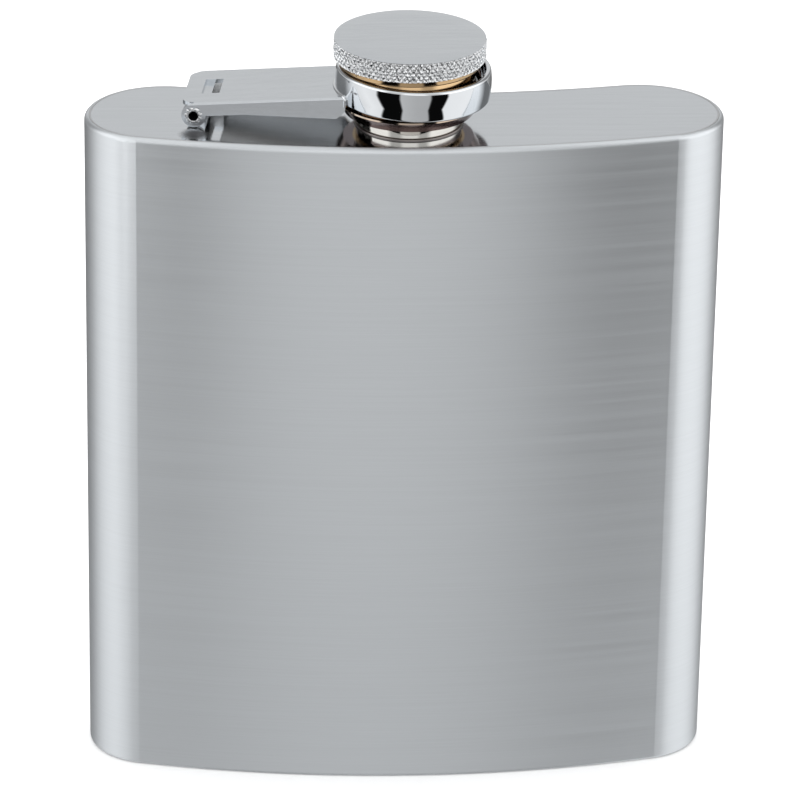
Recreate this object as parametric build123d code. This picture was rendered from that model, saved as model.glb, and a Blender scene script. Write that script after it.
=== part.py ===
from build123d import *
import os
from math import atan2, cos, degrees, radians, sin, sqrt, tan

# Hip flask with a captive screw cap. Millimetres, +Z up, convex front towards -Y.
# The origin is on the base plane, at mid width and mid thickness.

# Bottle. In plan it is a kidney: a convex front and a concave back joined by round ends.
width = 92.0
thickness = 22.2  # front to back at mid width
body_height = 100.8
front_radius = 161.0
back_radius = 165.0
front_corner_radius = 9.7
wall = 0.8
plate = 0.8
top_round = 0.7
bottom_round = 0.6

# Neck, welded into the top plate. From here on, heights are above the top plate.
neck_offset = 0.4  # along X
neck_bore_radius = 5.5
neck_wall = 0.55
neck_height = 7.6
thread_depth = 0.55
thread_pitch = 1.5
collar_step = 1.0  # beyond the thread's crest
collar_height = 1.9
collar_round = 0.5
mouth_round = 0.2
ridge_foot = 0.8  # width of a thread ridge at its foot, as a share of the pitch
ridge_crest = 0.2  # and at its crest

# Hinge. It lies on a line from the neck's axis towards the flask's left end.
hinge_inset = 15.8  # from the flask's side to the hinge pin
hinge_yaw = 7.8  # degrees: the kidney's ends bend back, and the hinge follows them
pin_height = 1.9
pin_radius = 0.7
pin_bore_radius = 0.45
pin_mouth_radius = 0.66
pin_mouth_depth = 1.0
pin_head_radius = 1.08
pin_head = 0.25
pin_head_round = 0.15
pin_fit = 0.04  # radial, arm on pin
hinge_gap = 0.1
open_angle = 92.0

# Arm: a channel of folded sheet with its flanges down.
arm_width = 13.2
arm_sheet = 0.6
arm_rise = 5.2  # degrees, up towards the ring
arm_top_over_pin = 1.85  # square to the sheet
arm_flange = 2.0  # flange depth by the hinge
arm_flange_floor = 2.4  # lowest height of the flange's edge by the ring
arm_flange_end_rise = 1.2
arm_bend_radius = 0.35  # outside the fold
lobe_radius = 1.75
heel_length = 1.8  # top sheet beyond the pin
heel_relief = 0.6  # width cut off each side of the heel
heel_round = 1.7
window_length = 2.6
window_width = 5.5
window_from_pin = 1.95
bracket_length = 2.4
bracket_sheet = 0.6
bracket_side_gap = 0.15
bracket_toe_height = 1.0
bracket_ear_turn = 30.0  # degrees from upright, where the ear's straight edge leaves its round top

# Ring at the arm's end, with a turned-in lip at the bottom.
ring_sheet = 0.9
ring_bottom = 4.1  # at its axis
ring_height = 4.55
ring_tilt = 1.5  # degrees, down at the side away from the hinge
ring_lip = 0.8
ring_lip_width = 0.7
ring_round = 0.4

# Cap: knurled head, threaded liner that runs down through the ring, retainer below, seal inside.
cap_overlap = 0.75  # beyond the ring's inside, so that the head can't sink into it
cap_sheet = 0.8
cap_bottom = 10.0
cap_height = 2.9
cap_lip = 0.3
cap_flange = 0.7
cap_edge = 0.2
shoulder_drop = 0.95  # the liner's shoulder, below the head
shoulder_step = 0.8  # in from the head's side
stem_step = 0.95  # beyond the liner's foot
stem_play = 0.6  # radial, in the ring's lip
stem_side_gap = 0.1  # on the hinge's side, where the ring hangs nearest to the stem
liner_wall = 0.4
collar_gap = 0.15
ring_gap = 0.1
retainer_foot = 1.35
retainer_rim = 0.25
retainer_hold = 0.1  # under the ring's lip, when the stem lies against the lip's far side
seal_gap = 0.1
seal = 0.9
swing_margin = 0.06

through = 400.0  # longer than anything, for cuts right through

# Worked out from the values above.
arm_length = width / 2 - hinge_inset
neck_root_radius = neck_bore_radius + neck_wall
neck_thread_radius = neck_root_radius + thread_depth
spigot_radius = neck_thread_radius  # the part of the neck inside the plate's hole
collar_radius = neck_thread_radius + collar_step
# While the cap swings up about the pin, its far side comes nearer to the neck by this much.
swing_in = (neck_height - pin_height) ** 2 / (2 * (arm_length + neck_thread_radius))
cap_thread_radius = neck_thread_radius + swing_in + swing_margin
cap_root_radius = cap_thread_radius + thread_depth
liner_radius = cap_root_radius + liner_wall
stem_radius = liner_radius + stem_step
retainer_radius = stem_radius + 2 * stem_play + retainer_hold
ring_shift = stem_play - stem_side_gap  # the ring's centre from the neck's axis, away from the hinge
ring_hole_radius = stem_radius + stem_play
ring_inner_radius = ring_hole_radius + ring_lip_width
ring_radius = ring_inner_radius + ring_sheet
cap_radius = ring_inner_radius + cap_overlap
cap_underside = collar_height + collar_gap
ring_dip = ring_radius * sin(radians(ring_tilt))
retainer_top = ring_bottom - ring_dip - ring_gap
cavity_top = neck_height + seal_gap + seal
cap_inner_radius = cap_radius - cap_sheet
shoulder_radius = cap_radius - shoulder_step
knuckle_radius = arm_top_over_pin - arm_sheet - hinge_gap
slope = radians(arm_rise)
pin_x = -arm_length
on_ring = Pos(ring_shift, 0, ring_bottom) * Rot(0, ring_tilt, 0)


def kidney(inset):
    """The bottle's plan, smaller all round by inset."""
    front_y = front_radius - thickness / 2
    back_y = back_radius + thickness / 2
    corner_x = width / 2 - front_corner_radius
    end_y = front_y - sqrt((front_radius - front_corner_radius) ** 2 - corner_x**2)
    # The back corner takes the radius that meets both the side and the concave back smoothly.
    depth = thickness / 2 - end_y
    back_corner_radius = (width**2 / 4 + depth**2 + 2 * back_radius * depth) / (2 * back_radius + width)
    back_corner_x = width / 2 - back_corner_radius
    front_turn = degrees(atan2(front_y - end_y, corner_x))
    back_turn = degrees(atan2(back_y - end_y, -back_corner_x))
    front_r = front_corner_radius - inset
    back_r = back_corner_radius - inset
    edges = [
        CenterArc((0, front_y), front_radius - inset, front_turn - 180, 180 - 2 * front_turn),
        CenterArc((corner_x, end_y), front_r, -front_turn, front_turn),
        CenterArc((back_corner_x, end_y), back_r, 0, back_turn),
        CenterArc((0, back_y), back_radius + inset, -back_turn, 2 * back_turn - 180),
        CenterArc((-back_corner_x, end_y), back_r, 180 - back_turn, back_turn),
        CenterArc((-corner_x, end_y), front_r, 180, front_turn),
    ]
    return make_face(edges)


def turned(points, rounds=()):
    """Solid turned about Z from (radius, height) points. rounds holds (point number, radius)."""
    outline = make_face(Polyline(*points, close=True))
    for number, radius in rounds:
        corner = outline.vertices().sort_by_distance(Vector(*points[number]))[0]
        outline = fillet(corner, radius)
    return revolve(Plane.XZ * outline, Axis.Z)


def ridges(root, crest, first, last):
    """Profile points of the thread's ridges on a wall, from height first up to height last."""
    points = []
    for turn in range(int((last - first) / thread_pitch)):
        middle = first + (turn + 0.5) * thread_pitch
        foot = ridge_foot * thread_pitch / 2
        top = ridge_crest * thread_pitch / 2
        points += [(root, middle - foot), (crest, middle - top), (crest, middle + top), (root, middle + foot)]
    return points


def across(profile, half_width):
    """Solid of an X-Z profile that spans both sides of the hinge line by half_width."""
    return extrude(Plane.XZ * profile, half_width, both=True)


def cross_pin(radius, half_width):
    """Round bar on the hinge's axis."""
    return Pos(pin_x, 0, pin_height) * Rot(90, 0, 0) * Cylinder(radius, 2 * half_width)


def make_body_wall():
    blank = extrude(kidney(0), body_height)
    blank = fillet(blank.faces().sort_by(Axis.Z)[-1].edges(), top_round)
    blank = fillet(blank.faces().sort_by(Axis.Z)[0].edges(), bottom_round)
    return blank - extrude(kidney(wall), body_height)


def make_top_plate():
    blank = Pos(0, 0, body_height - plate) * extrude(kidney(wall), plate)
    return blank - Pos(neck_offset, 0, body_height) * Cylinder(spigot_radius, through)


def make_bottom_plate():
    return extrude(kidney(wall), plate)


def make_neck():
    thread = ridges(neck_root_radius, neck_thread_radius, collar_height, neck_height - mouth_round)
    points = [
        (neck_bore_radius, -plate),
        (spigot_radius, -plate),
        (spigot_radius, 0),
        (collar_radius, 0),
        (collar_radius, collar_height),
        (neck_root_radius, collar_height),
        *thread,
        (neck_root_radius, neck_height),
        (neck_bore_radius, neck_height),
    ]
    mouth = len(points) - 1
    return turned(points, [(4, collar_round), (mouth - 1, mouth_round), (mouth, mouth_round)])


def make_hinge_bracket():
    """U of sheet: a foot on the top plate and two ears that carry the pin."""
    half = arm_width / 2 - arm_sheet - bracket_side_gap
    # At full opening the sheet of the arm lies along the left edge of the ears.
    lean = radians(90 + arm_rise + open_angle)
    touch_x = knuckle_radius * cos(lean)
    touch_z = knuckle_radius * sin(lean)
    toe_x = pin_x + touch_x + (pin_height + touch_z) * tan(lean)
    turn = radians(bracket_ear_turn)
    tip_x = toe_x + bracket_length
    ear = make_face(
        Polyline(
            (toe_x, 0),
            (tip_x, 0),
            (tip_x, bracket_toe_height),
            (pin_x + knuckle_radius * sin(turn), pin_height + knuckle_radius * cos(turn)),
            (pin_x, pin_height),
            (pin_x + touch_x, pin_height + touch_z),
            close=True,
        )
    )
    ears = across(ear + Pos(pin_x, pin_height) * Circle(knuckle_radius), half)
    hollow = Box(through, 2 * (half - bracket_sheet), through, align=(Align.CENTER, Align.CENTER, Align.MIN))
    return ears - Pos(0, 0, bracket_sheet) * hollow - cross_pin(pin_radius, arm_width)


def make_hinge_pin():
    """Hollow rivet through the arm's flanges and the bracket's ears, with a flared mouth each end."""
    shoulder = arm_width / 2 + hinge_gap / 2
    tip = shoulder + pin_head
    points = [
        (pin_bore_radius, 0),
        (pin_radius, 0),
        (pin_radius, shoulder),
        (pin_head_radius, shoulder),
        (pin_head_radius, tip),
        (pin_mouth_radius, tip),
        (pin_mouth_radius, tip - pin_mouth_depth),
        (pin_bore_radius, tip - pin_mouth_depth),
    ]
    half = turned(points, [(4, pin_head_round)])
    whole = half + mirror(half, Plane.XY)
    return Pos(pin_x, 0, pin_height) * Rot(90, 0, 0) * whole


def arm_line(x, below=0.0):
    """Height of the arm's top surface at x, or of a line that far below it."""
    return pin_height + (arm_top_over_pin - below) / cos(slope) + (x - pin_x) * tan(slope)


def make_captive_arm():
    half = arm_width / 2
    heel_x = pin_x - heel_length
    knee_x = pin_x + (arm_flange_floor - arm_line(pin_x, arm_flange)) / tan(slope)
    end_x = ring_shift - sqrt(ring_radius**2 - half**2)
    side = make_face(
        Polyline(
            (heel_x, arm_line(heel_x)),
            (0, arm_line(0)),
            (0, arm_flange_floor + arm_flange_end_rise),
            (end_x, arm_flange_floor + arm_flange_end_rise),
            (end_x - arm_flange_end_rise, arm_flange_floor),
            (knee_x, arm_flange_floor),
            (heel_x, arm_line(heel_x, arm_flange)),
            close=True,
        )
    )
    channel = across(side + Pos(pin_x, pin_height) * Circle(lobe_radius), half)
    folds = channel.edges().filter_by(lambda edge: edge.length > arm_length / 2)
    channel = fillet(folds.sort_by(Axis.Z)[-2:], arm_bend_radius)

    under = make_face(
        Polyline(
            (2 * pin_x, arm_line(2 * pin_x, arm_sheet)),
            (0, arm_line(0, arm_sheet)),
            (0, -through),
            (2 * pin_x, -through),
            close=True,
        )
    )
    channel -= across(under, half - arm_sheet)

    # Outside the heel only the two round lobes go on past the pin.
    heel_half = half - heel_relief
    heel = Pos(pin_x, 0, 0) * Box(2 * heel_length, 2 * heel_half, through)
    heel = fillet(heel.edges().filter_by(Axis.Z).group_by(Axis.X)[0], heel_round)
    past_pin = Pos(pin_x - through / 2, 0, 0) * Box(through, through, through)
    channel -= past_pin - heel - cross_pin(lobe_radius, half)

    window_x = pin_x + window_from_pin
    channel -= Pos(window_x, 0, arm_line(window_x)) * Box(window_length, window_width, 2 * arm_sheet)
    channel -= cross_pin(pin_radius + pin_fit, arm_width)
    return channel - on_ring * Cylinder(ring_radius, through)


def make_cap_ring():
    points = [
        (ring_hole_radius, 0),
        (ring_radius, 0),
        (ring_radius, ring_height),
        (ring_inner_radius, ring_height),
        (ring_inner_radius, ring_lip),
        (ring_hole_radius, ring_lip),
    ]
    return on_ring * turned(points, [(1, ring_round), (2, ring_round), (3, ring_round)])


def make_cap_head():
    """Cover of the cap: a shallow cup, crimped under the liner's flange."""
    cap_top = cap_bottom + cap_height
    lip_top = cap_bottom + cap_lip
    points = [
        (stem_radius, cap_bottom),
        (cap_radius, cap_bottom),
        (cap_radius, cap_top),
        (0, cap_top),
        (0, cap_top - cap_sheet),
        (cap_inner_radius, cap_top - cap_sheet),
        (cap_inner_radius, lip_top),
        (stem_radius, lip_top),
    ]
    return turned(points, [(1, cap_edge), (2, cap_edge)])


def make_cap_liner():
    seat = cap_bottom + cap_lip
    shoulder = cap_bottom - shoulder_drop
    thread = ridges(cap_root_radius, cap_thread_radius, cap_underside, neck_height)
    points = [
        (0, cavity_top),
        (cap_root_radius, cavity_top),
        *reversed(thread),
        (cap_root_radius, cap_underside),
        (liner_radius, cap_underside),
        (liner_radius, retainer_top),
        (stem_radius, retainer_top),
        (stem_radius, shoulder),
        (shoulder_radius, shoulder),
        (shoulder_radius, cap_bottom),
        (stem_radius, cap_bottom),
        (stem_radius, seat),
        (cap_inner_radius, seat),
        (cap_inner_radius, seat + cap_flange),
        (0, seat + cap_flange),
    ]
    return turned(points)


def make_cap_retainer():
    """Chamfered collar fixed on the liner's foot, which keeps the cap in the ring."""
    points = [
        (liner_radius, cap_underside),
        (liner_radius + retainer_foot, cap_underside),
        (retainer_radius, retainer_top - retainer_rim),
        (retainer_radius, retainer_top),
        (liner_radius, retainer_top),
    ]
    return turned(points)


def make_cap_seal():
    disc = Cylinder(cap_root_radius, seal, align=(Align.CENTER, Align.CENTER, Align.MAX))
    return Pos(0, 0, cavity_top) * disc


# Pieces of the neck, hinge and cap are made about the neck's axis, with the hinge towards -X.
on_neck = Pos(neck_offset, 0, body_height) * Rot(0, 0, -hinge_yaw)

pieces = {
    "body_wall": make_body_wall(),
    "top_plate": make_top_plate(),
    "bottom_plate": make_bottom_plate(),
    "neck": on_neck * make_neck(),
    "hinge_bracket": on_neck * make_hinge_bracket(),
    "hinge_pin": on_neck * make_hinge_pin(),
    "captive_arm": on_neck * make_captive_arm(),
    "cap_ring": on_neck * make_cap_ring(),
    "cap_head": on_neck * make_cap_head(),
    "cap_liner": on_neck * make_cap_liner(),
    "cap_retainer": on_neck * make_cap_retainer(),
    "cap_seal": on_neck * make_cap_seal(),
}

os.makedirs("parts", exist_ok=True)
for name, piece in pieces.items():
    export_step(piece, f"parts/{name}.step")
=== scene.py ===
from math import atan2, ceil, cos, pi, radians, sin, sqrt, tan

import bpy
from mathutils import Matrix, Vector


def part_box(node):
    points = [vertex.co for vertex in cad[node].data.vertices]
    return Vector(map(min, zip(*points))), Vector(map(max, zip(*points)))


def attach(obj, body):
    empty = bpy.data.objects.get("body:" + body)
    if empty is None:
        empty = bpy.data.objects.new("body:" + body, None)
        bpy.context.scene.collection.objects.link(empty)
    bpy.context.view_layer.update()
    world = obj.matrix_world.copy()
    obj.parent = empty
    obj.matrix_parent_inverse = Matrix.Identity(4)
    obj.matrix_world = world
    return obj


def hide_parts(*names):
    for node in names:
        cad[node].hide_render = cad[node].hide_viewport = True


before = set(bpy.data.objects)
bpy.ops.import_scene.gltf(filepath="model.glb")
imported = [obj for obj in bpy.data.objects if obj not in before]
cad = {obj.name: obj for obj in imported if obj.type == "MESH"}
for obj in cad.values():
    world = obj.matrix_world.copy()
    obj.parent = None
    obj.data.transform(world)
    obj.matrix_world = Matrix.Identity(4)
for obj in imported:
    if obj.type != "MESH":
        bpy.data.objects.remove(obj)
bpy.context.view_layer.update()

scene = bpy.context.scene
MM = 0.001

# Camera, at the photograph's viewing angle.
view_azimuth = radians(-3.19)
view_elevation = radians(24.83)
view_roll = radians(0.99)
view_distance = 0.7731
view_target = Vector((-0.16, 0, 56.79)) * MM
lens = 237.3

# Places taken from the frame, in metres.
neck_low, neck_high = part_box("neck")
neck_axis = (neck_low + neck_high) / 2
plate_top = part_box("top_plate")[1].z
deck = Vector((neck_axis.x, neck_axis.y, plate_top))

# The bottle's plan in millimetres.
width = 92.0
thickness = 22.2
front_radius = 161.0
back_radius = 165.0
front_corner_radius = 9.7
wall = 0.8

# Sizes of the hardware in millimetres, with heights above the top plate.
hinge_yaw = 7.8
pin_x = -30.2
pin_height = 1.9
arm_half = 6.6
arm_rise = 5.2
arm_top_over_pin = 1.85
arm_bend = 0.35
arm_sheet = 0.6
ring_radius = 11.2
ring_inner = 10.3
ring_hole = 9.6
ring_shift = 0.5
ring_bottom = 4.1
ring_height = 4.55
ring_lip = 0.8
ring_tilt = 1.5
ring_crown = 0.13
ring_rim_round = 0.42
ring_inner_round = 0.2
head_bottom = 10.0
head_top = 12.9
head_radius = 11.05
head_sheet = 0.8
head_lip = 0.3
head_edge = 0.16
head_foot = 0.12
shoulder_radius = 10.25
shoulder_chamfer = 0.1
shoulder_round = 0.25
stem_radius = 9.0
stem_flare = 0.36
stem_flare_bottom = 7.9
stem_flare_return = 0.3
rivet_radius = 0.7
rivet_bore = 0.45
rivet_mouth = 0.7
rivet_head = 1.35
rivet_shoulder = 6.66
rivet_tip = 6.9
rivet_petals = 9
rivet_notch = 0.5
rivet_mouth_depth = 1.0
tab_left = -28.9
tab_right = -27.0
tab_face = 2.72
tab_foot = 1.4
tab_sheet = 0.3
tab_corner = 0.5
tab_gap = 0.01
knurl_across = 0.8
knurl_along = 0.98
knurl_depth = 0.3
knurl_burr = 0.09
knurl_columns = 8  # mesh columns and rows to one tooth
thread_pitch = 1.5
thread_depth = 0.55
thread_fade = 0.5
thread_rows = 14  # mesh rows to one pitch
turned_columns = 120
neck_bore = 5.5
neck_root = 6.05
neck_top = 7.6
mouth_round = 0.2
collar_radius = 7.6
collar_top = 1.9
collar_round = 0.5
liner_root = 7.65
liner_bottom = 2.05
liner_foot_radius = 8.05
retainer_top = 3.707
shoulder_bottom = 9.05
flange_top = 11.0
cavity_top = 8.6
axis_hole = 0.02  # the small hole that keeps a turned mesh open on its axis
arm_weld_radius = 0.22
neck_weld_radius = 0.27
touching = 0.001  # radii closer than this count as the same


def make_camera():
    back = Vector((
        sin(view_azimuth) * cos(view_elevation),
        -cos(view_azimuth) * cos(view_elevation),
        sin(view_elevation),
    ))
    side = Vector((0, 0, 1)).cross(back).normalized()
    up = back.cross(side)
    rolled_side = side * cos(view_roll) + up * sin(view_roll)
    rolled_up = up * cos(view_roll) - side * sin(view_roll)
    data = bpy.data.cameras.new("camera")
    data.lens = lens
    data.sensor_width = 36
    data.clip_start = 0.01
    data.clip_end = 20
    camera = bpy.data.objects.new("camera", data)
    axes = Matrix((rolled_side, rolled_up, back)).transposed().to_4x4()
    camera.matrix_world = Matrix.Translation(view_target + back * view_distance) @ axes
    scene.collection.objects.link(camera)
    scene.camera = camera


# Node tools


class Tree:
    """Short calls for building a node tree."""

    def __init__(self, tree):
        self.tree = tree

    def node(self, kind, **settings):
        made = self.tree.nodes.new(kind)
        for key, value in settings.items():
            setattr(made, key, value)
        return made

    def link(self, value, socket):
        if isinstance(value, (int, float)):
            socket.default_value = value
        else:
            self.tree.links.new(value, socket)

    def math(self, operation, *values, clamp=False):
        made = self.node("ShaderNodeMath", operation=operation, use_clamp=clamp)
        for value, socket in zip(values, made.inputs):
            self.link(value, socket)
        return made.outputs[0]

    def ramp(self, factor, stops, interpolation="EASE"):
        made = self.node("ShaderNodeValToRGB")
        made.color_ramp.interpolation = interpolation
        elements = made.color_ramp.elements
        while len(elements) < len(stops):
            elements.new(0.5)
        for element, (place, level) in zip(elements, stops):
            element.position = place
            element.color = (level, level, level, 1) if isinstance(level, (int, float)) else (*level, 1)
        self.link(factor, made.inputs["Fac"])
        return made.outputs["Color"]

    def mix(self, factor, first, second):
        made = self.node("ShaderNodeMix", data_type="RGBA")
        self.link(factor, made.inputs["Factor"])
        for value, socket in ((first, made.inputs[6]), (second, made.inputs[7])):
            if isinstance(value, tuple):
                socket.default_value = (*value, 1)
            else:
                self.link(value, socket)
        return made.outputs[2]


# Studio: a light tent with two dark flags in front. Azimuths run from the front towards the right.
low_panels = [
    (-180, 0.12),
    (-150, 0.12),
    (-128, 0.26),
    (-104, 0.80),
    (-65, 1.14),
    (-49, 1.05),
    (-46, 0.004),
    (-19, 0.004),
    (-17, 0.64),
    (-8, 0.60),
    (2, 0.56),
    (18, 0.54),
    (20, 0.004),
    (40, 0.004),
    (42, 1.12),
    (80, 1.18),
    (103, 0.98),
    (118, 0.50),
    (135, 0.26),
    (155, 0.15),
    (180, 0.12),
]
high_panels = [
    (-180, 0.80),
    (-162, 0.80),
    (-150, 0.30),
    (-120, 0.30),
    (-98, 1.6),
    (-50, 1.7),
    (-40, 0.75),
    (-22, 0.75),
    (-14, 1.3),
    (14, 1.3),
    (22, 0.75),
    (36, 0.75),
    (48, 1.7),
    (108, 1.6),
    (126, 0.30),
    (150, 0.30),
    (162, 0.80),
    (180, 0.80),
]
zenith = 0.95
flag_spread = 0.2  # how much wider the flags' edges stand above and below their middle
flag_middle = radians(-25)
flag_reach = radians(14)


def make_world():
    world = bpy.data.worlds.new("studio")
    scene.world = world
    world.use_nodes = True
    t = Tree(world.node_tree)
    background = world.node_tree.nodes["Background"]
    split = t.node("ShaderNodeSeparateXYZ")
    t.link(t.node("ShaderNodeTexCoord").outputs["Generated"], split.inputs[0])
    front = t.math("MULTIPLY", split.outputs["Y"], -1.0)
    turn = t.math("ARCTAN2", split.outputs["X"], front)
    climb = t.math("ARCSINE", split.outputs["Z"])
    away = t.math("ABSOLUTE", t.math("SUBTRACT", climb, flag_middle))
    away = t.math("DIVIDE", away, flag_reach, clamp=True)
    spread = t.math("MULTIPLY_ADD", away, flag_spread, 1.0)
    share = t.math("MULTIPLY_ADD", t.math("DIVIDE", turn, spread), 1 / (2 * pi), 0.5)
    low = t.ramp(share, [((azimuth + 180) / 360, level * 0.5) for azimuth, level in low_panels], "LINEAR")
    share = t.math("MULTIPLY_ADD", turn, 1 / (2 * pi), 0.5)
    high = t.ramp(share, [((azimuth + 180) / 360, level * 0.5) for azimuth, level in high_panels], "LINEAR")
    rise = t.math("MULTIPLY_ADD", split.outputs["Z"], 0.5, 0.5)
    above_flags = t.ramp(rise, [(0.46, 0.0), (0.54, 1.0)])
    overhead = t.ramp(rise, [(0.78, 0.0), (0.93, 1.0)])
    tent = t.mix(above_flags, low, high)
    tent = t.mix(overhead, tent, (zenith * 0.5,) * 3)
    t.link(tent, background.inputs["Color"])
    background.inputs["Strength"].default_value = 2.0


def area_light(name, place, aim, width, height, power):
    data = bpy.data.lights.new(name, "AREA")
    data.shape = "RECTANGLE"
    data.size = width
    data.size_y = height
    data.energy = power
    light = bpy.data.objects.new(name, data)
    light.location = place
    light.rotation_euler = (Vector(aim) - Vector(place)).to_track_quat("-Z", "Y").to_euler()
    scene.collection.objects.link(light)
    return light


def light_only(light, *objects):
    """The light reaches these objects only."""
    group = bpy.data.collections.new(light.name + "_receivers")
    for each in objects:
        group.objects.link(each)
    light.light_linking.receiver_collection = group


def make_floor():
    size = 6.0
    mesh = bpy.data.meshes.new("floor")
    mesh.from_pydata(
        [(-size, -size, 0), (size, -size, 0), (size, size, 0), (-size, size, 0)], [], [(0, 1, 2, 3)]
    )
    floor = bpy.data.objects.new("floor", mesh)
    scene.collection.objects.link(floor)
    floor.data.materials.append(metal("floor_paper", (0.92, 0.92, 0.92), 0.9, metallic=0.0))
    floor.visible_glossy = False


# Materials


def metal(name, colour, roughness, metallic=1.0):
    material = bpy.data.materials.new(name)
    material.use_nodes = True
    shader = material.node_tree.nodes["Principled BSDF"]
    shader.inputs["Base Color"].default_value = (*colour, 1)
    shader.inputs["Roughness"].default_value = roughness
    shader.inputs["Metallic"].default_value = metallic
    return material


def grain(t, scale, detail=4.0):
    """Noise over the object's own place, in streaks: scale holds the noise scale along X, Y and Z."""
    mapping = t.node("ShaderNodeMapping")
    mapping.inputs["Scale"].default_value = scale
    t.link(t.node("ShaderNodeTexCoord").outputs["Object"], mapping.inputs["Vector"])
    noise = t.node("ShaderNodeTexNoise")
    noise.inputs["Scale"].default_value = 1.0
    noise.inputs["Detail"].default_value = detail
    noise.inputs["Roughness"].default_value = 0.6
    t.link(mapping.outputs[0], noise.inputs["Vector"])
    return noise.outputs["Fac"]


def brushed(name, colour, roughness, streaks, fine, depth, shade=0.03, metallic=1.0):
    """Brushed metal: broad streaks change its tint and shine, and fine ones its relief."""
    material = metal(name, colour, roughness, metallic)
    t = Tree(material.node_tree)
    shader = material.node_tree.nodes["Principled BSDF"]
    broad = grain(t, streaks)
    narrow = grain(t, fine)
    both = t.math("MULTIPLY", t.math("ADD", broad, narrow), 0.5)
    dark = tuple(channel * (1 - shade) for channel in colour)
    light = tuple(min(1.0, channel * (1 + shade)) for channel in colour)
    t.link(t.ramp(both, [(0.35, dark), (0.65, light)]), shader.inputs["Base Color"])
    t.link(t.math("MULTIPLY_ADD", broad, roughness * 0.3, roughness * 0.85), shader.inputs["Roughness"])
    bump = t.node("ShaderNodeBump")
    bump.inputs["Strength"].default_value = depth
    bump.inputs["Distance"].default_value = 0.01 * MM
    t.link(narrow, bump.inputs["Height"])
    t.link(bump.outputs[0], shader.inputs["Normal"])
    return material


def smear_upright(material, strength):
    """Draws reflections out up and down, as brush lines that run level do."""
    t = Tree(material.node_tree)
    shader = material.node_tree.nodes["Principled BSDF"]
    shader.inputs["Anisotropic"].default_value = strength
    shader.inputs["Anisotropic Rotation"].default_value = 0.25
    tangent = t.node("ShaderNodeTangent", direction_type="RADIAL", axis="Z")
    t.link(tangent.outputs[0], shader.inputs["Tangent"])


def dull_downwards(material, height, growth):
    """Makes the brushing rougher from the top, at this height, down to the foot."""
    t = Tree(material.node_tree)
    roughness = material.node_tree.nodes["Principled BSDF"].inputs["Roughness"]
    even = roughness.links[0].from_socket
    split = t.node("ShaderNodeSeparateXYZ")
    t.link(t.node("ShaderNodeTexCoord").outputs["Object"], split.inputs[0])
    more = t.math("MULTIPLY_ADD", split.outputs["Z"], -growth / height, 1 + growth)
    t.link(t.math("MULTIPLY", even, more), roughness)


def paint_shade_spots(material, obj, places, reach, colour, dulling):
    """Paints shade: darkens and dulls the metal round each place, fading over reach."""
    t = Tree(material.node_tree)
    shader = material.node_tree.nodes["Principled BSDF"]
    clean = shader.inputs["Base Color"].links[0].from_socket
    even = shader.inputs["Roughness"].links[0].from_socket
    spot = t.node("ShaderNodeTexCoord").outputs["Object"]
    near = 0.0
    for place in places:
        away = t.node("ShaderNodeVectorMath", operation="DISTANCE")
        t.link(spot, away.inputs[0])
        away.inputs[1].default_value = obj.matrix_world.inverted() @ place
        near = t.math("MAXIMUM", near, t.math("MULTIPLY_ADD", away.outputs["Value"], -1 / reach, 1.0))
    uneven = t.math("MULTIPLY_ADD", grain(t, (1500, 1500, 1500)), 0.3, -0.15)
    # Painted shade: dark, duller patches that fade out from each place.
    painted_shade_level = t.ramp(t.math("ADD", near, uneven), [(0.02, 0.0), (0.7, 1.0)])
    t.link(t.mix(painted_shade_level, clean, colour), shader.inputs["Base Color"])
    t.link(t.math("MULTIPLY_ADD", painted_shade_level, dulling, even), shader.inputs["Roughness"])


def paint_shading_below(material, colour):
    """Paints light and shade under a part: the faces that look down take a colour of their own."""
    t = Tree(material.node_tree)
    base = material.node_tree.nodes["Principled BSDF"].inputs["Base Color"]
    clean = base.links[0].from_socket
    split = t.node("ShaderNodeSeparateXYZ")
    t.link(t.node("ShaderNodeTexCoord").outputs["Normal"], split.inputs[0])
    below = t.ramp(t.math("MULTIPLY", split.outputs["Z"], -1.0), [(0.25, 0.0), (0.6, 1.0)])
    t.link(t.mix(below, clean, colour), base)


def wear(name, material):
    cad[name].data.materials.clear()
    cad[name].data.materials.append(material)


# Mesh tools


deck_frame = Matrix.Translation(deck) @ Matrix.Rotation(-radians(hinge_yaw), 4, "Z") @ Matrix.Scale(MM, 4)


def on_deck(obj):
    """Puts a piece made about the neck's axis in place, with the hinge towards -X."""
    obj.data.transform(deck_frame)
    return obj


def mesh_piece(name, points, faces, material, sharp=30.0):
    mesh = bpy.data.meshes.new(name)
    mesh.from_pydata(points, [], faces)
    mesh.validate()
    mesh.shade_smooth()
    mesh.set_sharp_from_angle(angle=radians(sharp))
    obj = bpy.data.objects.new(name, mesh)
    scene.collection.objects.link(obj)
    for each in (material if isinstance(material, (list, tuple)) else [material]):
        obj.data.materials.append(each)
    return obj


def lathe(name, profile, columns, material, carve=None, sharp=30.0):
    """Closed turned mesh. profile runs once round the section in (radius, height) points.

    carve(angle, radius, height) gives the radius where the surface isn't plainly round.
    """
    points = []
    for column in range(columns):
        angle = 2 * pi * column / columns
        for radius, height in profile:
            real = carve(angle, radius, height) if carve else radius
            points.append((real * cos(angle), real * sin(angle), height))
    faces = []
    rows = len(profile)
    for column in range(columns):
        here = column * rows
        there = (column + 1) % columns * rows
        for row in range(rows):
            after = (row + 1) % rows
            faces.append((here + row, there + row, there + after, here + after))
    return mesh_piece(name, points, faces, material, sharp)


def steps(first, last, size):
    """Evenly spaced values from first to last, about size apart."""
    count = max(1, ceil(abs(last - first) / size))
    return [first + (last - first) * number / count for number in range(count + 1)]


def arc(centre, radius, start, end, count):
    """Points on an arc in the section plane, with angles in degrees."""
    angles = [radians(start + (end - start) * number / count) for number in range(count + 1)]
    return [(centre[0] + radius * cos(angle), centre[1] + radius * sin(angle)) for angle in angles]


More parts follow.
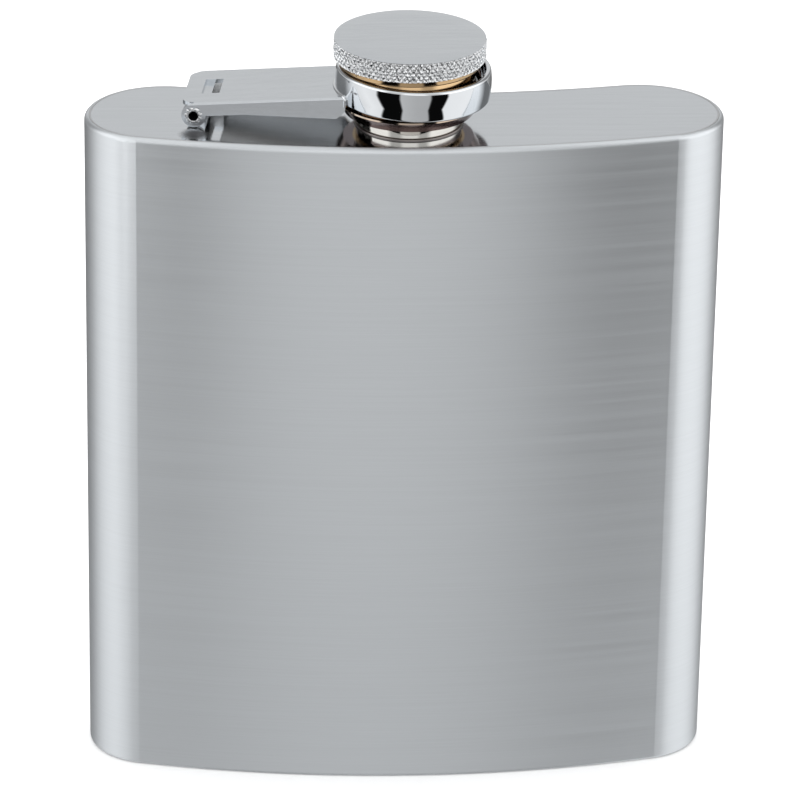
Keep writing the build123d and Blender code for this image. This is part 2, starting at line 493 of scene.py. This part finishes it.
def tube(name, path, radius, material, sides=10, closed=False, flat=1.0):
    """Bead of round section along a path of points. flat squeezes it in height."""
    points = []
    faces = []
    count = len(path)
    for number, place in enumerate(path):
        before = path[(number - 1) % count] if closed or number else place
        after = path[(number + 1) % count] if closed or number < count - 1 else place
        ahead = (Vector(after) - Vector(before)).normalized()
        side = ahead.cross(Vector((0, 0, 1)))
        side = side.normalized() if side.length > 0.2 else Vector((0, 1, 0))
        over = side.cross(ahead).normalized()
        for turn in range(sides):
            angle = 2 * pi * turn / sides
            points.append(Vector(place) + side * radius * cos(angle) + over * radius * flat * sin(angle))
    rings = count if closed else count - 1
    for number in range(rings):
        here = number * sides
        there = (number + 1) % count * sides
        for turn in range(sides):
            after = (turn + 1) % sides
            faces.append((here + turn, here + after, there + after, there + turn))
    if not closed:
        faces.append(tuple(reversed(range(sides))))
        faces.append(tuple(range((count - 1) * sides, count * sides)))
    return mesh_piece(name, [tuple(point) for point in points], faces, material, sharp=60.0)


def ripple(obj, depth, rate):
    """Moves the surface unevenly against its normals, as a weld or a crushed rim stands."""
    for corner, normal in [(vertex, vertex.normal.copy()) for vertex in obj.data.vertices]:
        x, y, z = corner.co * rate
        wave = sin(2.1 * x + 3.7 * y) + sin(5.3 * y - 2.9 * z + 1.3) + sin(6.1 * z + 4.3 * x + 0.7)
        corner.co -= normal * depth * (0.5 + wave / 6)


def add(obj, body, slot_name, *nodes):
    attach(obj, body)
    if nodes:
        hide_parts(*nodes)


# Pieces


def make_knurled_head():
    """The cap's head, with a diamond knurl cut into its side."""
    count = round(2 * pi * head_radius / knurl_across)
    foot = head_bottom + head_foot

    def carve(angle, radius, height):
        if radius < head_radius - touching:
            return radius
        turn = count * angle / (2 * pi)
        rise = (height - foot) / knurl_along
        first = abs((turn + rise) % 1 - 0.5) * 2
        second = abs((turn - rise) % 1 - 0.5) * 2
        tooth = sin(12.9 * round(turn + rise) + 78.2 * round(turn - rise)) * 43758.5 % 1
        burr = sin(917.3 * angle + 523.7 * height) * 9341.7 % 1
        return radius - knurl_depth * (1 - min(first, second) * (0.55 + 0.45 * tooth)) - knurl_burr * burr

    inner = head_radius - head_sheet
    lip = head_bottom + head_lip
    heights = steps(foot, head_top - head_edge, knurl_along / knurl_columns)
    profile = [
        (stem_radius, head_bottom),
        (head_radius - knurl_depth * 0.8, head_bottom),
        *[(head_radius, height) for height in heights],
        (head_radius - knurl_depth * 0.7, head_top - head_edge * 0.25),
        (head_radius - knurl_depth * 1.6, head_top),
        *[(radius, head_top) for radius in (8.0, 5.0, 2.0, axis_hole)],
        (axis_hole, head_top - head_sheet),
        (inner, head_top - head_sheet),
        (inner, lip),
        (stem_radius, lip),
    ]
    head = lathe("knurled_head", profile, count * knurl_columns, [knurl_steel, satin_top], carve, sharp=18.0)
    for face in head.data.polygons:
        high = face.center.z > head_top - head_edge * 0.2
        face.material_index = 1 if high else 0
    add(on_deck(head), "cap", "knurled_cap", "cap_head")


def ridge(angle, height, start, end):
    """How far the thread stands out, from 0 to 1, on a right-handed helix that fades at both ends."""
    share = ((height - start) / thread_pitch - angle / (2 * pi)) % 1
    out = min(1.0, max(0.0, (0.4 - abs(share - 0.5)) / 0.3))
    fade = min(1.0, max(0.0, height - start) / thread_fade, max(0.0, end - height) / thread_fade)
    return out * fade


def make_threaded_neck():
    start = collar_top + 0.15
    end = neck_top - 0.4
    spigot = neck_root + thread_depth

    def carve(angle, radius, height):
        if abs(radius - neck_root) > touching or not start < height < end:
            return radius
        return radius + thread_depth * ridge(angle, height, start, end)

    profile = [
        (neck_bore, -wall),
        (spigot, -wall),
        (spigot, 0),
        (collar_radius, 0),
        *arc((collar_radius - collar_round, collar_top - collar_round), collar_round, 0, 90, 6),
        (neck_root, collar_top),
        *[(neck_root, height) for height in steps(start, end, thread_pitch / thread_rows)],
        *arc((neck_root - mouth_round, neck_top - mouth_round), mouth_round, 0, 90, 4),
        *arc((neck_bore + mouth_round, neck_top - mouth_round), mouth_round, 90, 180, 4),
    ]
    neck = lathe("threaded_neck", profile, turned_columns, warm_steel, carve)
    add(on_deck(neck), "flask", "polished_neck", "neck")


def make_threaded_liner():
    start = liner_bottom + 0.2
    end = neck_top

    def carve(angle, radius, height):
        if abs(radius - liner_root) > touching or not start < height < end:
            return radius
        return radius - thread_depth * ridge(angle, height, start, end)

    inner = head_radius - head_sheet
    seat = head_bottom + head_lip
    profile = [
        (axis_hole, cavity_top),
        (axis_hole, flange_top),
        (inner, flange_top),
        (inner, seat),
        (stem_radius, seat),
        (stem_radius, head_bottom),
        (shoulder_radius - shoulder_chamfer, head_bottom),
        (shoulder_radius, head_bottom - shoulder_chamfer),
        *arc((shoulder_radius - shoulder_round, shoulder_bottom + shoulder_round), shoulder_round, 0, -90, 4),
        (stem_radius, shoulder_bottom),
        (stem_radius + stem_flare, stem_flare_bottom),
        (stem_radius, stem_flare_bottom - stem_flare_return),
        (stem_radius, retainer_top),
        (liner_foot_radius, retainer_top),
        (liner_foot_radius, liner_bottom),
        (liner_root, liner_bottom),
        *[(liner_root, height) for height in steps(start, end, thread_pitch / thread_rows)],
        (liner_root, cavity_top),
    ]
    liner = lathe("threaded_liner", profile, turned_columns, brass_tint, carve)
    add(on_deck(liner), "cap", "polished_liner", "cap_liner")


def make_crowned_ring():
    """The ring at the arm's end. Its side is slightly crowned and its rims are rounded."""
    crown = []
    for share in steps(-1, 1, 0.1):
        height = ring_height / 2 + share * (ring_height / 2 - ring_rim_round)
        crown.append((ring_radius - ring_crown * share * share, height))
    rim_radius = ring_radius - ring_crown - ring_rim_round
    profile = [
        (ring_hole, 0),
        *arc((rim_radius, ring_rim_round), ring_rim_round, -90, -8, 6),
        *crown,
        *arc((rim_radius, ring_height - ring_rim_round), ring_rim_round, 8, 90, 6),
        *arc((ring_inner + ring_inner_round, ring_height - ring_inner_round), ring_inner_round, 90, 180, 4),
        (ring_inner, ring_lip),
        (ring_hole, ring_lip),
    ]
    ring = lathe("crowned_ring", profile, 160, [mirror_steel, painted_shade_steel])
    # Painted shade: the ring's flat underside takes the dark material.
    for face in ring.data.polygons:
        face.material_index = 1 if face.center.z < 0.05 else 0
    tilt = Matrix.Translation((ring_shift, 0, ring_bottom)) @ Matrix.Rotation(radians(ring_tilt), 4, "Y")
    ring.data.transform(tilt)
    add(on_deck(ring), "arm", "polished_ring", "cap_ring")


def make_hollow_rivet():
    """Tube through the hinge, with a crushed, petalled rim and a dark bore at each end."""

    def carve(angle, radius, height):
        if radius < rivet_mouth + 0.1 or abs(height) < rivet_shoulder:
            return radius
        share = (radius - rivet_mouth) / (rivet_head - rivet_mouth)
        petal = abs(sin(rivet_petals * angle / 2 + 0.4 * sin(3 * angle))) ** 0.35
        return radius - share * rivet_notch * (1 - petal)

    rim = [
        (rivet_radius, rivet_shoulder),
        (rivet_head - 0.1, rivet_shoulder),
        (rivet_head, rivet_shoulder + 0.08),
        (rivet_head - 0.05, rivet_shoulder + 0.16),
        (rivet_head - 0.18, rivet_tip - 0.02),
        (rivet_mouth + 0.12, rivet_tip),
        (rivet_mouth, rivet_tip - 0.05),
        (rivet_mouth - 0.03, rivet_tip - 0.16),
        (rivet_bore, rivet_tip - rivet_mouth_depth),
    ]
    profile = rim + [(radius, -height) for radius, height in reversed(rim)]
    rivet = lathe("hollow_rivet", profile, rivet_petals * 12, [rivet_steel, bore_shade], carve)
    for face in rivet.data.polygons:
        x, y, z = face.center
        inside = sqrt(x * x + y * y) < rivet_mouth + 0.01
        face.material_index = 1 if inside and abs(z) < rivet_tip - 0.06 else 0
    ripple(rivet, 0.06, 5.0)
    rivet.data.transform(Matrix.Translation((pin_x, 0, pin_height)) @ Matrix.Rotation(radians(90), 4, "X"))
    add(on_deck(rivet), "flask", "rivet", "hinge_pin")


def make_lanced_tab():
    """Tongue cut from the arm's window and bent straight down at the window's back edge."""
    points = []
    faces = []
    for number, x in enumerate(steps(tab_left, tab_right, 0.1)):
        end = min(x - tab_left, tab_right - x)
        corner = tab_corner - sqrt(max(0.0, tab_corner**2 - max(0.0, tab_corner - end) ** 2))
        top = arm_line(x, arm_sheet + tab_gap)
        for y, z in ((0, top), (0, tab_foot + corner), (tab_sheet, tab_foot + corner), (tab_sheet, top)):
            points.append((x, tab_face + y, z))
        if number:
            here = 4 * number - 4
            for place in range(4):
                after = (place + 1) % 4
                faces.append((here + place, here + 4 + place, here + 4 + after, here + after))
    faces.append((0, 1, 2, 3))
    last = len(points) - 4
    faces.append((last + 3, last + 2, last + 1, last))
    tab = mesh_piece("lanced_tab", points, faces, tab_steel)
    add(on_deck(tab), "arm", "brushed_arm")


def arm_line(x, below=0.0):
    """Height of the arm's top surface at x, or of a line that far below it."""
    slope = radians(arm_rise)
    return pin_height + (arm_top_over_pin - below) / cos(slope) + (x - pin_x) * tan(slope)


def make_arm_weld():
    """Bead where the arm's sheet meets the ring: up one flange, over the sheet and down the other."""
    reach = arm_half - 0.1
    path = []
    for y in steps(-reach, reach, 0.5):
        x = ring_shift - sqrt((ring_radius - 0.02) ** 2 - y * y)
        drop = max(0.0, abs(y) - (arm_half - arm_bend))
        bend = arm_bend - sqrt(max(0.0, arm_bend**2 - drop**2))
        path.append((x, y, arm_line(x) - 0.03 - bend))
    first = path[0]
    last = path[-1]
    low = ring_bottom + 0.25
    down = steps(low, first[2] - 0.3, 0.3)
    path = [(first[0], first[1] - 0.08, z) for z in down] + path
    path += [(last[0], last[1] + 0.08, z) for z in reversed(down)]
    weld = tube("arm_weld", path, arm_weld_radius, mirror_steel)
    ripple(weld, 0.09, 2.6)
    add(on_deck(weld), "arm", "polished_ring")


def make_neck_weld():
    """Fine bead where the collar stands on the top plate; its dark colour is painted shade along the collar's
    foot.
    """
    radius = collar_radius + 0.05
    path = [(radius * cos(angle), radius * sin(angle), 0.05) for angle in steps(0, 2 * pi, 0.08)[:-1]]
    weld = tube("neck_weld", path, neck_weld_radius, weld_painted_shade, closed=True)
    add(on_deck(weld), "flask", "polished_neck")


def kidney_outline(inset, spacing):
    """Points round the bottle's plan, set in by inset: convex front, concave back and round ends."""
    front_y = front_radius - thickness / 2
    back_y = back_radius + thickness / 2
    corner_x = width / 2 - front_corner_radius
    end_y = front_y - sqrt((front_radius - front_corner_radius) ** 2 - corner_x**2)
    depth = thickness / 2 - end_y
    back_corner_radius = (width**2 / 4 + depth**2 + 2 * back_radius * depth) / (2 * back_radius + width)
    back_corner_x = width / 2 - back_corner_radius
    front_turn = atan2(front_y - end_y, corner_x)
    back_turn = atan2(back_y - end_y, -back_corner_x)
    arcs = [
        (0, front_y, front_radius - inset, front_turn - pi, -front_turn),
        (corner_x, end_y, front_corner_radius - inset, -front_turn, 0),
        (back_corner_x, end_y, back_corner_radius - inset, 0, back_turn),
        (0, back_y, back_radius + inset, back_turn - pi, -back_turn),
        (-back_corner_x, end_y, back_corner_radius - inset, pi - back_turn, pi),
        (-corner_x, end_y, front_corner_radius - inset, pi, pi + front_turn),
    ]
    points = []
    for x, y, radius, start, end in arcs:
        for angle in steps(start, end, spacing / radius)[:-1]:
            points.append((x + radius * cos(angle), y + radius * sin(angle)))
    return points


def make_seam(name, inset, height, radius):
    """Flat weld bead along the joint of the wall and a plate."""
    path = [(x, y, height) for x, y in kidney_outline(inset, 0.8)]
    seam = tube(name, path, radius, seam_steel, sides=8, closed=True, flat=0.35)
    seam.data.transform(Matrix.Scale(MM, 4))
    add(seam, "flask", "brushed_body")


make_camera()
make_world()
make_floor()

# Grain of the finishes: noise scales along X, Y and Z, broad and fine.
lengthwise = (60, 1200, 60)
lengthwise_fine = (200, 6000, 200)
turned = (90, 90, 900)
turned_fine = (300, 300, 4000)
speckled = (900, 900, 900)
speckled_fine = (4000, 4000, 4000)
sheet_colour = (0.585, 0.61, 0.635)

wall_steel = brushed(
    "brushed_wall", (0.68, 0.707, 0.73), 0.41, (14, 14, 1400), (60, 60, 7000), 0.5, shade=0.02
)
smear_upright(wall_steel, 0.85)
dull_downwards(wall_steel, plate_top, 0.4)
plate_steel = brushed("brushed_plate", sheet_colour, 0.09, (30, 1500, 30), (120, 7000, 120), 0.25)
arm_steel = brushed("brushed_arm", sheet_colour, 0.17, (40, 1200, 1200), (150, 6000, 6000), 0.25)
# Painted light: the arm's faces that look down are painted lighter and warmer, to set the tone of their
# reflection in the top plate.
paint_shading_below(arm_steel, (0.66, 0.63, 0.60))
satin_top = brushed("satin_cap_top", (0.58, 0.605, 0.63), 0.16, (60, 1500, 60), lengthwise_fine, 0.3)
mirror_steel = brushed(
    "mirror_ring", (0.68, 0.70, 0.72), 0.03, (80, 80, 400), (300, 300, 900), 0.02, shade=0.01
)
knurl_steel = brushed("bright_knurl", (0.60, 0.61, 0.62), 0.12, speckled, speckled_fine, 0.5)
warm_steel = brushed("warm_neck", (0.72, 0.685, 0.63), 0.07, turned, turned_fine, 0.1)
brass_tint = brushed("warm_liner", (0.52, 0.36, 0.20), 0.1, turned, turned_fine, 0.1)
retainer_steel = brushed("warm_retainer", (0.62, 0.50, 0.40), 0.1, turned, turned_fine, 0.1)
# Painted shade: the retainer's faces that look down are painted dark brown, and the top plate reflects them.
paint_shading_below(retainer_steel, (0.30, 0.24, 0.23))
rivet_steel = brushed("rivet_steel", (0.70, 0.71, 0.72), 0.16, speckled, speckled_fine, 0.5)
# The bead at the collar's foot is real, and its dark colour is painted shade along the joint.
weld_painted_shade = brushed("weld_line_painted_shade", (0.20, 0.18, 0.17), 0.3, speckled, speckled_fine, 0.6)
seam_steel = brushed("seam_steel", (0.50, 0.51, 0.52), 0.35, speckled, speckled_fine, 0.6)
# Painted shade: a dark material for the ring's flat underside.
painted_shade_steel = brushed(
    "painted_shade_underside", (0.20, 0.15, 0.15), 0.12, (300, 300, 300), (2000, 2000, 2000), 0.2, shade=0.3
)
bore_shade = brushed("bore_shade", (0.02, 0.02, 0.021), 0.6, speckled, speckled_fine, 0.6, shade=0.4)
tab_steel = brushed(
    "lanced_tab", (0.78, 0.79, 0.80), 0.4, speckled, (3000, 3000, 3000), 0.8, shade=0.2, metallic=0.35
)
seal_rubber = brushed(
    "seal_rubber", (0.05, 0.05, 0.05), 0.6, (700, 700, 700), (3000, 3000, 3000), 0.4, shade=0.3, metallic=0.0
)
steel = brushed("plain_steel", (0.61, 0.625, 0.64), 0.22, lengthwise, lengthwise_fine, 0.3)

for name in cad:
    wear(name, steel)
wear("body_wall", wall_steel)
wear("top_plate", plate_steel)
wear("bottom_plate", plate_steel)
wear("captive_arm", arm_steel)
wear("hinge_bracket", arm_steel)
wear("cap_retainer", retainer_steel)
wear("cap_seal", seal_rubber)

# Painted shade on the top plate in front of the hinge and behind it, where the hinge casts shade and the
# plate reflects its dark underside.
shade_spot_x = pin_x + 0.5
shade_spot_y = arm_half + 2.4
shade_spots = [deck_frame @ Vector((shade_spot_x, side * shade_spot_y, 0)) for side in (-1, 1)]
paint_shade_spots(plate_steel, cad["top_plate"], shade_spots, reach=2.8 * MM, colour=(0.12, 0.12, 0.125), dulling=0.3)

make_knurled_head()
make_threaded_neck()
make_threaded_liner()
make_crowned_ring()
make_hollow_rivet()
make_lanced_tab()
make_arm_weld()
make_neck_weld()
make_seam("top_seam", wall, plate_top / MM, 0.16)
make_seam("bottom_seam", wall, 0.03, 0.1)

top_softbox = area_light("top_softbox", place=(0, 0.25, 1.2), aim=(0, 0, 0), width=1.6, height=1.6, power=14)
top_softbox.visible_glossy = False

# A strip inside the left flag lights the wall only, and brightens its left corner.
strip_turn = radians(-41)
strip_distance = 0.7
strip_place = Vector((sin(strip_turn), -cos(strip_turn), 0.0)) * strip_distance
strip = area_light("left_strip", place=strip_place, aim=(0, 0, 0.05), width=0.26, height=0.6, power=0.78)
light_only(strip, cad["body_wall"])

scene.view_settings.view_transform = "Standard"
